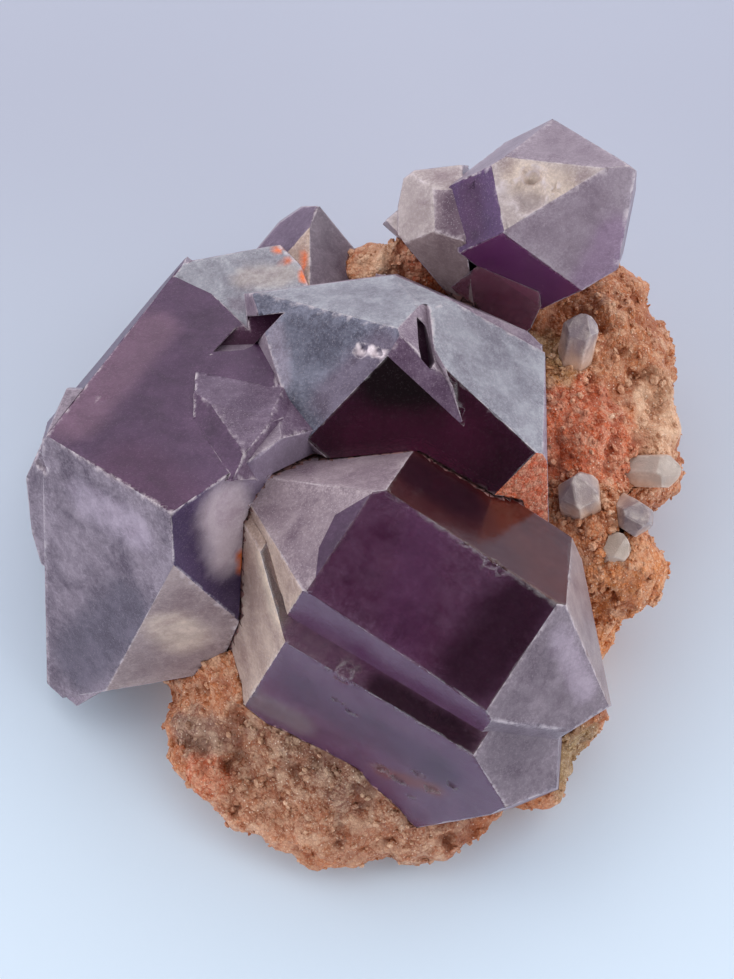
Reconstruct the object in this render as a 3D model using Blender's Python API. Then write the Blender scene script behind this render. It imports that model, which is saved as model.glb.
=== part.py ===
"""Amethyst crystals grown on a lump of rusty quartz rock.

Units are metres with +Z up. The lump rests on its flat underside at z = 0. Driving dimensions
below are in millimetres and degrees, and are turned into metres where the solids are made.

Each crystal is a solid bounded by flat faces. A face is named by its place round the crystal's
long axis and its slope from that axis, and its reach is its distance from the crystal's centre.
A crystal that grew in steps is two or more such solids with the same axes, joined in one.
"""

import math

import bmesh
import bpy
from mathutils import Matrix, Vector, noise

MM = 0.001

# Space kept between two solids that touch.
GAP = 0.3

# Slopes of quartz faces from the long axis, and the angle from each face round to the next.
WALL = 90.0
CAP = 51.8
FOOT = 128.2
SIXTH = 60

# How far a later layer of growth stands out from the one before it.
GROWTH_STEP = 0.3

# How far below its neighbour's face a block's face lies where both belong to one facet.
TUCK = 0.2

# Half the side of the block that a crystal is cut from.
ROUGH_BLOCK = 70.0


def quartz(walls=(), caps=(), feet=(), others=()):
    """Faces of a crystal as heading round its axis, slope from the axis and reach.

    Walls, caps and feet are reaches in order round the axis, at the angles that quartz always
    has, with None where a face is missing. The others are growth and broken faces.
    """
    faces = []
    for slope, reaches in ((WALL, walls), (CAP, caps), (FOOT, feet)):
        faces += [(SIXTH * i, slope, reach) for i, reach in enumerate(reaches) if reach]
    return faces + list(others)


def tucked(faces, depth=TUCK):
    """The same faces, drawn in by a little."""
    return [(heading, slope, reach - depth) for heading, slope, reach in faces]


# Placement of each crystal: centre, heading and rise of its long axis, turn about that axis.
FRONT_PLACE = ((8, -22, 28), -32, -11, 17)
LEFT_PLACE = ((-25, -1, 26), -90, 65, 0)
LEDGE_PLACE = ((-15, 5, 33), -90, 65, 0)
SHELF_PLACE = ((-16, 29, 21), -90, 65, 0)
MIDDLE_PLACE = ((7, 9, 28), -38, -22, 30)
POCKET_PLACE = ((-15, 16, 35), -38, -22, 30)
BACK_PLACE = ((-7, 34, 18), 95, 28, 0)
UPPER_PLACE = ((22, 31, 34), -3, 50, 17)
UNDER_PLACE = ((16, 25, 25), -3, 50, 17)
MILKY_PLACE = ((8, 33, 29), 150, 40, 10)
MILKY_TIP_PLACE = ((3, 34, 29), 150, 40, 10)

# Front crystal, and its lower terrace one growth step down.
FRONT_TOP = quartz(
    walls=(13, 9.5, 19, 16, 17.5, 16.5), caps=(16, 14), feet=(20, 17.5, None, 26, 24, 22),
    others=[(290, 50, 18.5), (275, 45, 19.5), (80, 25, 18)])
FRONT_TERRACE = quartz(
    walls=(None, 12, None, 19, 16, 14), caps=(14, 21.5, None, None, None, 17),
    feet=(19, 18.5, None, 27, None, 19),
    others=[(0, 95, 8), (85, 90, 19.5), (85, 95, 20), (80, 35, 22), (85, 45, 22), (280, 30, 16)])

# Left crystal, which points up at the viewer, with a rounded shoulder on its outer side and a
# toe at its front foot.
LEFT_SIDES = [(50, 85, 15.5), (90, 85, 15)]
LEFT_CAPS = [(5, 50, 13), (120, CAP, 13.5), (190, 55, 18), (240, CAP, 16.5)]
LEFT_UNDERSIDE = [(225, 155, 14.5)]
LEFT_MAIN = quartz(
    walls=(34, None, None, None, None, 26), feet=(34, None, None, None, None, 34),
    others=[(190, 85, 24), (260, WALL, 27), (335, 55, 18), (325, 80, 21)]
    + LEFT_SIDES + LEFT_CAPS + LEFT_UNDERSIDE)
LEFT_SHOULDER = quartz(
    walls=(12, None, None, None, 5),
    others=[(65, 85, 16), (95, 85, 17), (105, 85, 17.5), (145, 80, 16.5), (0, 180, 4)]
    + tucked(LEFT_CAPS))
LEFT_TOE = quartz(
    walls=(12,), others=[(210, 85, 18), (260, WALL, 10)]
    + tucked(LEFT_SIDES + LEFT_CAPS + LEFT_UNDERSIDE))

# Small crystal set in the right side of the left crystal.
LEDGE = quartz(
    others=[(5, 50, 6), (0, 60, 5), (315, 60, 7), (260, 60, 8), (40, 45, 7.5), (90, WALL, 6),
            (0, 180, 6), (270, WALL, 6), (180, WALL, 7)])

# Pale shelf behind the left crystal.
SHELF = quartz(
    others=[(20, 40, 7.5), (190, 110, 0.5), (15, WALL, 4.5), (10, WALL, 4), (315, WALL, 7),
            (290, WALL, 8), (55, 85, 8), (250, 95, 11), (0, 180, 12)])

# Sharp-edged pocket between the left and middle crystals.
POCKET = quartz(
    others=[(180, 175, 1), (70, 40, 2.5), (0, 5, 2), (255, 140, 1.5), (160, 80, 3),
            (0, WALL, 12)])

# Middle crystal: its near part, and its far part one growth step further out.
MIDDLE_FRONT_FACES = [(0, CAP, 18.5), (270, 45, 15), (285, 60, 16)]
MIDDLE_FOOT_FACES = [(260, 110, 13.5), (285, 125, 15.5)]
MIDDLE_NEAR = quartz(
    walls=(14.5, 16, 14, 12, 14, 13), caps=(None, 17), feet=(17, 19, 20, 20),
    others=[(350, WALL, 15), (295, 135, 16), (255, 140, 16.5)]
    + MIDDLE_FRONT_FACES + MIDDLE_FOOT_FACES)
MIDDLE_FAR = quartz(
    walls=(14.5, 15.5, 13, 12.5, None, 14), caps=(None, 16, 20),
    others=[(255, 105, 12.5), (55, 145, 5), (55, 115, 3), (285, 125, 15.5)]
    + tucked(MIDDLE_FRONT_FACES, -GROWTH_STEP))

# Dark notch between the two parts of the middle crystal.
NOTCH = quartz(
    others=[(85, 125, -1), (250, 50, -1), (270, 10, -3), (240, 115, 6.5), (160, WALL, -11.5),
            (350, 100, 22)])

# Small crystal standing behind.
BACK = quartz(
    others=[(45, 65, 6.5), (300, 45, 6), (330, 55, 8), (270, 45, 6.5), (270, 30, 6.5),
            (100, 5, 7), (90, 55, 5), (90, 70, 5.5), (180, 120, 4), (350, 150, 12)])

# Upper right crystal, and the lower step under it.
UPPER_MAIN = quartz(
    walls=(11, 8, 9, 11, 11, 10.5), caps=(11, 8.5, None, 14, 11.5, 11.5),
    feet=(11.5, 9, 12, 12, 12, 11), others=[(170, 45, 12), (150, 50, 10.5)])
UPPER_STEP = quartz(
    feet=(None, None, None, 8),
    others=[(55, 80, 4), (50, 135, 2.5), (60, 130, 2), (115, 80, 6), (140, 60, 6),
            (175, 45, 6), (295, 100, 4), (255, 55, 3.5), (0, 180, 9)])

# Milky crystal at the foot of the upper right crystal, and its small tip.
MILKY = quartz(
    others=[(330, 45, 9), (275, 30, 6), (275, 80, 6.5), (30, 35, 8.5), (210, 50, 4),
            (200, 40, 4.5), (125, 25, 7), (80, 45, 7.5), (230, 85, 3.5), (30, 125, 5),
            (0, 180, 9), (150, 130, 8)])
MILKY_TIP = quartz(
    others=[(130, 25, 0.5), (235, 85, 0.5), (325, 40, 3), (0, 180, 4), (35, 135, 1.5)])

# The solids that each crystal node is joined from.
FRONT = [(FRONT_PLACE, FRONT_TOP), (FRONT_PLACE, FRONT_TERRACE)]
LEFT = [
    (LEFT_PLACE, LEFT_MAIN), (LEFT_PLACE, LEFT_SHOULDER), (LEFT_PLACE, LEFT_TOE),
    (SHELF_PLACE, SHELF),
    (MIDDLE_PLACE, MIDDLE_NEAR), (MIDDLE_PLACE, MIDDLE_FAR), (BACK_PLACE, BACK),
]
UPPER = [
    (UPPER_PLACE, UPPER_MAIN), (UNDER_PLACE, UPPER_STEP), (MILKY_PLACE, MILKY),
    (MILKY_TIP_PLACE, MILKY_TIP),
]

# Quartz stubs in the rock: centre, heading and rise of the axis, half width, half length.
QUARTZ_STUBS = [
    ((26.5, 18, 24.5), 75, 60, 2, 4.5),
    ((26.5, -2, 24), 120, 70, 2.5, 3.5),
    ((32.5, -3, 21.5), -60, 50, 2, 4.5),
    ((35, 4, 18.5), -10, 20, 2, 4),
    ((30, -8, 20), 30, 60, 2, 3.5),
]

# Plan outline of the rock half way up, front left corner first, going round to the right.
ROCK_OUTLINE = [
    (-24, -26), (-19, -32), (-12, -37), (-4, -41), (7, -41), (15, -36), (23, -30), (28, -24),
    (30, -16), (35, -9), (34, -2), (38, 5), (38, 18), (36, 27), (30, 32), (18, 31), (4, 35),
    (-5, 33), (-16, 27), (-26, 18), (-30, 4), (-29, -12),
]
ROCK_TOP = 23.0

# The point in plan that the rock narrows towards as it rises.
ROCK_HEART = (6, 6)

# Lumps on the rock: centre and half sizes.
ROCK_LUMPS = [
    ((-17, -30, 5.5), (8, 6.5, 5.5)), ((-5, -38.5, 4.5), (9, 6, 5)), ((8, -38, 4), (9.5, 5.5, 4.5)),
    ((-19, -25, 5.5), (7, 7, 5)), ((-13, -35.5, 4), (6, 5, 4.5)), ((18, -31, 6), (8, 6, 6)),
    ((25, -24, 9), (6, 6, 8)),
    ((36.5, 20, 13), (4.5, 8, 9)), ((36, 8, 12.5), (4.5, 8, 8)), ((33.5, -9, 14), (4.5, 6, 7)),
    ((31, 29, 16), (5.5, 5, 7)), ((24, 11, 19), (10, 14, 6.5)), ((27, -4, 18), (7, 8, 6)),
    ((0, 30, 19), (5.5, 5, 5.5)), ((9, 31, 20), (7, 5, 6)), ((1.7, 31.7, 23), (2.4, 2.4, 2.4)),
    ((30, 22, 20), (6, 7, 6)), ((22, 26, 18), (8, 7, 7)), ((-26, -8, 9), (8, 10, 8)),
    ((-20, 14, 9), (9, 10, 8)),
]
ROCK_GRID = 1.5
ROCK_TRIANGLES = 2600


def axes_of(place):
    """Rotation that turns crystal axes to the world: x to its first wall, z along its length."""
    _, heading, rise, turn = place
    a, r, t = (math.radians(v) for v in (heading, rise, turn))
    long_axis = Vector((math.cos(r) * math.cos(a), math.cos(r) * math.sin(a), math.sin(r)))
    upright = (Vector((0, 0, 1)) - long_axis * long_axis.z).normalized()
    side = long_axis.cross(upright)
    first_wall = upright * math.cos(t) + side * math.sin(t)
    rows = (first_wall, long_axis.cross(first_wall), long_axis)
    return Matrix(rows).transposed()


def face_normal(heading, slope):
    """Outward direction of a face in crystal axes."""
    a, s = math.radians(heading), math.radians(slope)
    return Vector((math.sin(s) * math.cos(a), math.sin(s) * math.sin(a), math.cos(s)))


def slice_off(bm, point, normal):
    """Cut away what lies beyond a plane and close the cut with a flat face."""
    geometry = bm.verts[:] + bm.edges[:] + bm.faces[:]
    cut = bmesh.ops.bisect_plane(
        bm, geom=geometry, dist=1e-7, plane_co=point, plane_no=normal, clear_outer=True)
    rim = [e for e in cut["geom_cut"] if isinstance(e, bmesh.types.BMEdge)]
    if rim:
        bmesh.ops.contextual_create(bm, geom=rim)


def crystal_solid(name, place, faces, swell=0.0):
    """One flat-faced solid, cut from a block by its faces, each moved out by swell."""
    centre = Vector(place[0])
    turn = axes_of(place)
    bm = bmesh.new()
    bmesh.ops.create_cube(bm, size=2 * ROUGH_BLOCK, matrix=Matrix.Translation(centre))
    for heading, slope, reach in faces:
        normal = turn @ face_normal(heading, slope)
        slice_off(bm, centre + normal * (reach + swell), normal)
    bmesh.ops.recalc_face_normals(bm, faces=bm.faces)
    bmesh.ops.scale(bm, vec=(MM, MM, MM), verts=bm.verts)
    return solid_from(bm, name)


def solid_from(bm, name):
    """Object of its own made from a bmesh."""
    mesh = bpy.data.meshes.new(name)
    bm.to_mesh(mesh)
    bm.free()
    solid = bpy.data.objects.new(name, mesh)
    bpy.context.scene.collection.objects.link(solid)
    return solid


def combine(solid, others, operation):
    """Join other solids to this one, or cut them from it, and remove them."""
    for other in others:
        modifier = solid.modifiers.new(operation.title(), "BOOLEAN")
        modifier.operation = operation
        modifier.solver = "EXACT"
        modifier.object = other
        settle(solid)
        bpy.data.objects.remove(other)
    return solid


def settle(solid):
    """Make the result of the modifiers the solid's own mesh."""
    view = bpy.context.evaluated_depsgraph_get()
    view.update()
    mesh = bpy.data.meshes.new_from_object(solid.evaluated_get(view))
    solid.modifiers.clear()
    solid.data = mesh


def stub_faces(half_width, half_length):
    """Faces of a stubby quartz crystal with a point at each end."""
    walls = quartz(walls=[half_width] * 6)
    caps = [(SIXTH * i + 5, CAP, half_length * (0.8 + 0.06 * (i % 3))) for i in range(6)]
    return walls + caps + [(0, 180, half_length)]


def join_crystal(name, parts, swell=0.0):
    """One solid from the blocks of a crystal."""
    first, *rest = [crystal_solid(name, place, faces, swell) for place, faces in parts]
    return combine(first, rest, "UNION")


def rock_slab():
    """Main body of the rock, drawn from its outline."""
    bm = bmesh.new()
    low = [bm.verts.new((x * 0.94, y * 0.94, -3)) for x, y in ROCK_OUTLINE]
    base = bm.faces.new(low)
    levels = ((5, 1.0), (11, 0.93), (17, 0.8), (ROCK_TOP, 0.66))
    height, spread = -3, 0.94
    for level, scale in levels:
        grown = bmesh.ops.extrude_face_region(bm, geom=[base])
        ring = [v for v in grown["geom"] if isinstance(v, bmesh.types.BMVert)]
        bmesh.ops.translate(bm, vec=(0, 0, level - height), verts=ring)
        bmesh.ops.scale(
            bm, vec=(scale / spread, scale / spread, 1), verts=ring,
            space=Matrix.Translation((-ROCK_HEART[0], -ROCK_HEART[1], 0)))
        base = [f for f in grown["geom"] if isinstance(f, bmesh.types.BMFace)][0]
        height, spread = level, scale
    bmesh.ops.recalc_face_normals(bm, faces=bm.faces)
    return bm


def rock_solid():
    """The lump of rock: slab and lumps melted together, roughened and set on a flat base."""
    bm = rock_slab()
    for centre, half in ROCK_LUMPS:
        place = Matrix.Translation(centre) @ Matrix.Diagonal((*half, 1.0))
        bmesh.ops.create_icosphere(bm, subdivisions=3, radius=1.0, matrix=place)
    rock = solid_from(bm, "matrix")
    melt = rock.modifiers.new("Melt", "REMESH")
    melt.mode = "VOXEL"
    melt.voxel_size = ROCK_GRID
    settle(rock)
    roughen(rock)
    fewer = rock.modifiers.new("Fewer", "DECIMATE")
    fewer.ratio = ROCK_TRIANGLES / (2 * len(rock.data.polygons))
    settle(rock)
    return flat_based(rock)


def roughen(rock):
    """Push the surface in and out in pits and ledges of two sizes."""
    bm = bmesh.new()
    bm.from_mesh(rock.data)
    bm.normal_update()
    for vertex in bm.verts:
        broad = noise.noise(vertex.co * 0.11 + Vector((3, 7, 1)))
        fine = noise.noise(vertex.co * 0.35 + Vector((9, 2, 5)))
        vertex.co += vertex.normal * (1.6 * broad + 0.9 * fine)
    bm.to_mesh(rock.data)
    bm.free()


def flat_based(rock):
    """Slice the rock level at z = 0 and turn it to metres."""
    bm = bmesh.new()
    bm.from_mesh(rock.data)
    slice_off(bm, Vector((0, 0, 0)), Vector((0, 0, -1)))
    bmesh.ops.recalc_face_normals(bm, faces=bm.faces)
    bmesh.ops.scale(bm, vec=(MM, MM, MM), verts=bm.verts)
    bm.to_mesh(rock.data)
    bm.free()
    return rock


def give_material(solid, name, colour, roughness):
    """Plain material of the node."""
    material = bpy.data.materials.new(name)
    material.use_nodes = True
    shader = material.node_tree.nodes["Principled BSDF"]
    shader.inputs["Base Color"].default_value = (*colour, 1.0)
    shader.inputs["Roughness"].default_value = roughness
    shader.inputs["Metallic"].default_value = 0.0
    material.diffuse_color = (*colour, 1.0)
    solid.data.materials.clear()
    solid.data.materials.append(material)


def left_cluster(swell=0.0):
    """Left, middle and back crystals, grown into one another, with the pocket between."""
    cluster = join_crystal("amethyst_left", LEFT, swell)
    if not swell:
        combine(cluster, [crystal_solid("pocket", POCKET_PLACE, POCKET)], "DIFFERENCE")
        combine(cluster, [crystal_solid("notch", MIDDLE_PLACE, NOTCH)], "DIFFERENCE")
        combine(cluster, [crystal_solid("ledge", LEDGE_PLACE, LEDGE)], "UNION")
    return cluster


def main():
    """Make every solid."""
    for leftover in list(bpy.data.objects):
        bpy.data.objects.remove(leftover)
    front = join_crystal("amethyst_front", FRONT)
    cluster = left_cluster()
    for parts in (FRONT, UPPER):
        combine(cluster, [join_crystal("room", parts, GAP)], "DIFFERENCE")
    upper = join_crystal("amethyst_upper", UPPER)
    rock = rock_solid()
    for parts in (FRONT, LEFT, UPPER):
        combine(rock, [join_crystal("room", parts, GAP)], "DIFFERENCE")
    give_material(front, "amethyst_front", (0.22, 0.12, 0.26), 0.3)
    give_material(cluster, "amethyst_left", (0.32, 0.24, 0.38), 0.35)
    give_material(upper, "amethyst_upper", (0.3, 0.22, 0.34), 0.3)
    give_material(rock, "matrix", (0.5, 0.28, 0.18), 0.8)
    for number, (centre, heading, rise, width, length) in enumerate(QUARTZ_STUBS, start=1):
        place = (centre, heading, rise, 0)
        stub = crystal_solid("quartz_%d" % number, place, stub_faces(width, length))
        give_material(stub, "quartz_%d" % number, (0.6, 0.52, 0.48), 0.35)
        room = crystal_solid("room", place, stub_faces(width, length), GAP)
        combine(rock, [room], "DIFFERENCE")


main()
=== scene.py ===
"""Looks of amethyst crystals grown on a lump of rusty quartz rock.

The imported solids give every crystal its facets. Here each crystal gets worn rims, growth
waves and chips, and each of its facets gets its own finish: clear, veiled, frosted or milky.
The rock gets its crust of grains and its colours. Places and sizes are in millimetres, and
are turned into metres where meshes are made. Tones are 8-bit display values.
"""

import logging
import math
import random
from dataclasses import dataclass, field
from enum import Enum

import bmesh
import bpy
from mathutils import Euler, Matrix, Vector, noise
from mathutils.bvhtree import BVHTree
from mathutils.kdtree import KDTree


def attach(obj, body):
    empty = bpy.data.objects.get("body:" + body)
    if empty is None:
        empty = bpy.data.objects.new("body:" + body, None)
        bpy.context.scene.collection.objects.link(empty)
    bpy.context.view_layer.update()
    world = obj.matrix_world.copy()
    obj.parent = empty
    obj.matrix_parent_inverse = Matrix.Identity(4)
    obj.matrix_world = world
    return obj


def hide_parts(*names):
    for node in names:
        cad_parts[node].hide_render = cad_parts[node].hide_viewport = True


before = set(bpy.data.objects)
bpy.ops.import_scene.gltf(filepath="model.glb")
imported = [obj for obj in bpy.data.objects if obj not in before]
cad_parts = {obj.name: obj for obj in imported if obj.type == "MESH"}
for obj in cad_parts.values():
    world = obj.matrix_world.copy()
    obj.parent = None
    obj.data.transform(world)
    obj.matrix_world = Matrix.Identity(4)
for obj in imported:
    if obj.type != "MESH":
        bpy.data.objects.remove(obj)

LOG = logging.getLogger("amethyst")
MM = 0.001
Triple = tuple[float, float, float]
Colour = tuple[float, float, float, float]
Pixel = tuple[int, int]
Mesh = bmesh.types.BMesh
Tree = bpy.types.NodeTree
Socket = bpy.types.NodeSocket
Sockets = bpy.types.bpy_prop_collection
Material = bpy.types.Material
Piece = bpy.types.Object

PICTURE_WIDTH, PICTURE_HEIGHT = 734, 979
NOISE_SEED, GRAIN_SEED = 7, 7
QUARTZ_IOR = 1.544

# Angles and distances that tell one facet from the next

FLAT = math.radians(0.8)
CREASE = math.radians(12)
HALF_TURNED = math.radians(60)
CUT_SLACK = 1e-6
SAME_PLANE = 0.9997
TOUCH = 0.01


def linear(rgb: Triple) -> Colour:
    """Turn a tone into the light values that shaders use.

    Args:
        rgb: Red, green and blue from 0 to 255 as a display shows them.

    Returns:
        Linear red, green, blue and an alpha of one.
    """
    levels = (value / 255 for value in rgb)
    return (*(v / 12.92 if v <= 0.04045 else ((v + 0.055) / 1.055) ** 2.4 for v in levels), 1.0)


def smooth_step(value: float, low: float, high: float) -> float:
    """Ease from 0 at low to 1 at high."""
    t = min(1.0, max(0.0, (value - low) / (high - low)))
    return t * t * (3 - 2 * t)


def blend(first: Colour, second: Colour, share: float) -> Colour:
    """Mix two colours, with share as the part of the second."""
    return tuple(a + (b - a) * share for a, b in zip(first, second))


def distance_to_line(point: Vector, start: Vector, end: Vector) -> float:
    """Distance from a point to the stretch between start and end."""
    along = end - start
    if along.length_squared < 1e-12:
        return (point - start).length
    share = min(1.0, max(0.0, (point - start).dot(along) / along.length_squared))
    return (point - start - along * share).length


def solids_around(*left_out: str) -> BVHTree:
    """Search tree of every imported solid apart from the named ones."""
    bm = bmesh.new()
    for name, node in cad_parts.items():
        if name not in left_out:
            bm.from_mesh(node.data)
    tree = BVHTree.FromBMesh(bm)
    bm.free()
    return tree


def put_in_scene(name: str, data: bpy.types.ID) -> Piece:
    """Put a mesh or a camera into the scene."""
    thing = bpy.data.objects.new(name, data)
    bpy.context.scene.collection.objects.link(thing)
    return thing


# Viewpoint


@dataclass(frozen=True)
class Viewpoint:
    """Camera that looks down on the stone from the front.

    Args:
        target: Point that it looks at.
        distance: How far it stands from there.
        elevation: Its height over the floor, in degrees.
        lens: Focal length.
        sensor: Length of the film's longer side.
    """

    target: Triple = (0, 0, 22)
    distance: float = 380.0
    elevation: float = 68.0
    lens: float = 111.5
    sensor: float = 36.0

    def stand(self) -> Matrix:
        """Place of the camera, in metres."""
        rise = math.radians(self.elevation)
        back = Vector((0, -math.cos(rise), math.sin(rise)))
        spot = (Vector(self.target) + back * self.distance) * MM
        return Matrix.Translation(spot) @ Matrix.Rotation(math.pi / 2 - rise, 4, "X")

    def look_through(self, pixel: Pixel) -> tuple[Vector, Vector]:
        """Start and direction of the line of sight through a pixel of the picture."""
        size = self.sensor / max(PICTURE_WIDTH, PICTURE_HEIGHT)
        across = (pixel[0] - PICTURE_WIDTH / 2) * size
        up = (PICTURE_HEIGHT / 2 - pixel[1]) * size
        stand = self.stand()
        way = stand.to_3x3() @ Vector((across, up, -self.lens))
        return stand.translation, way.normalized()

    def build(self) -> None:
        """Make the camera and use it."""
        data = bpy.data.cameras.new("viewpoint")
        data.lens = self.lens
        data.sensor_width = self.sensor
        data.clip_start, data.clip_end = 0.01, 10.0
        camera = put_in_scene("viewpoint", data)
        camera.matrix_world = self.stand()
        bpy.context.scene.camera = camera


class Spotter:
    """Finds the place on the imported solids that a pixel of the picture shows."""

    def __init__(self, view: Viewpoint) -> None:
        """Look from this viewpoint."""
        self.view = view
        self.solids = solids_around()

    def find(self, pixel: Pixel) -> Vector:
        """Place in millimetres that a pixel shows."""
        start, way = self.view.look_through(pixel)
        hit = self.solids.ray_cast(start, way)[0]
        if hit is None:
            raise ValueError("nothing is seen at pixel %d, %d" % pixel)
        return hit / MM


# Shader nodes


class Desk:
    """Adds and links the nodes of one shader tree."""

    def __init__(self, tree: Tree) -> None:
        """Work on this tree."""
        self.tree = tree

    def feed(self, node: bpy.types.Node, inputs: dict) -> None:
        """Link a node's inputs to sockets, or set their plain values, by name or number."""
        for name, value in inputs.items():
            if isinstance(value, Socket):
                self.tree.links.new(value, node.inputs[name])
            else:
                node.inputs[name].default_value = value

    def add(self, kind: str, inputs: dict | None = None, **settings: object) -> bpy.types.Node:
        """Add a node.

        Args:
            kind: Blender's name of the node type, without ShaderNode at its front.
            inputs: Values or sockets for the node's inputs, by name or number.
            **settings: Properties of the node itself.

        Returns:
            The new node.
        """
        node = self.tree.nodes.new("ShaderNode" + kind)
        for name, value in settings.items():
            setattr(node, name, value)
        self.feed(node, inputs or {})
        return node

    def reckon(self, operation: str, *values: object) -> Socket:
        """Result of one arithmetic step, such as MULTIPLY, on numbers or sockets."""
        node = self.add("Math", dict(enumerate(values)), operation=operation)
        node.use_clamp = operation in ("ADD", "MULTIPLY_ADD", "SUBTRACT")
        return node.outputs[0]

    def times(self, first: object, second: object) -> Socket:
        """Product of two values."""
        return self.reckon("MULTIPLY", first, second)

    def vector(self, operation: str, inputs: dict) -> Socket:
        """Result of one step of vector arithmetic."""
        return self.add("VectorMath", inputs, operation=operation).outputs[0]

    def ramp(self, value: object, low: object, high: object) -> Socket:
        """Ease a value from 0 at low to 1 at high."""
        sockets = {"Value": value, "From Min": low, "From Max": high}
        return self.add("MapRange", sockets, interpolation_type="SMOOTHSTEP").outputs[0]

    def spread(self, value: object, least: float, most: float) -> Socket:
        """Stretch a value from 0 to 1 over the range from least to most."""
        return self.add("MapRange", {"Value": value, "To Min": least, "To Max": most}).outputs[0]

    def mix(self, first: object, second: object, share: object, how: str = "MIX") -> Socket:
        """Mix two colours, with share as the part of the second."""
        sockets = {0: share, 6: first, 7: second}
        return self.add("Mix", sockets, data_type="RGBA", blend_type=how).outputs[2]

    def cover(self, base: object, colour: object, mask: object, strength: object) -> Socket:
        """Lay a colour over another one where a mask shows it."""
        return self.mix(base, colour, self.times(mask, strength))

    def noise(self, spot: Socket, scale: object, detail: float, rough: float = 0.5,
              swirl: object = 0.0) -> Socket:
        """Soft noise from 0 to 1."""
        return self.add("TexNoise", {
            "Vector": spot, "Scale": scale, "Detail": detail, "Roughness": rough,
            "Distortion": swirl}).outputs["Fac"]

    def cells(self, spot: Socket, scale: object, feature: str = "F1") -> Sockets:
        """Packed cells, with their distance and colour."""
        return self.add("TexVoronoi", {"Vector": spot, "Scale": scale}, feature=feature).outputs

    def painted(self, name: str, kind: str = "Fac") -> Socket:
        """Value painted on the mesh."""
        return self.add("Attribute", attribute_name=name).outputs[kind]

    def place(self, turn: Triple = (0, 0, 0), stretch: Triple = (1, 1, 1)) -> Socket:
        """Object coordinates in millimetres, turned by degrees and stretched."""
        mapping = {
            "Vector": self.add("TexCoord").outputs["Object"],
            "Rotation": tuple(math.radians(v) for v in turn),
            "Scale": tuple(v / MM for v in stretch)}
        return self.add("Mapping", mapping, vector_type="POINT").outputs[0]


class Effect(Desk):
    """A shared effect in the making: a node group with its inputs and results."""

    def __init__(self, name: str, numbers: dict[str, float]) -> None:
        """Start a node group.

        Args:
            name: Name of the group.
            numbers: Its number inputs with their usual values; Vector is always there too.
        """
        super().__init__(bpy.data.node_groups.new(name, "ShaderNodeTree"))
        self.add_socket("Vector", "INPUT", "NodeSocketVector")
        for key, value in numbers.items():
            self.add_socket(key, "INPUT").default_value = value
        self.given = self.tree.nodes.new("NodeGroupInput").outputs
        self.spot = self.given["Vector"]

    def add_socket(self, name: str, way: str,
                   kind: str = "NodeSocketFloat") -> bpy.types.NodeTreeInterfaceSocket:
        """Give the group one more input or result."""
        return self.tree.interface.new_socket(name, in_out=way, socket_type=kind)

    def finish(self, results: dict[str, Socket]) -> Tree:
        """Close the group with its results, all numbers."""
        for key in results:
            self.add_socket(key, "OUTPUT")
        self.feed(self.tree.nodes.new("NodeGroupOutput"), results)
        return self.tree


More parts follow.
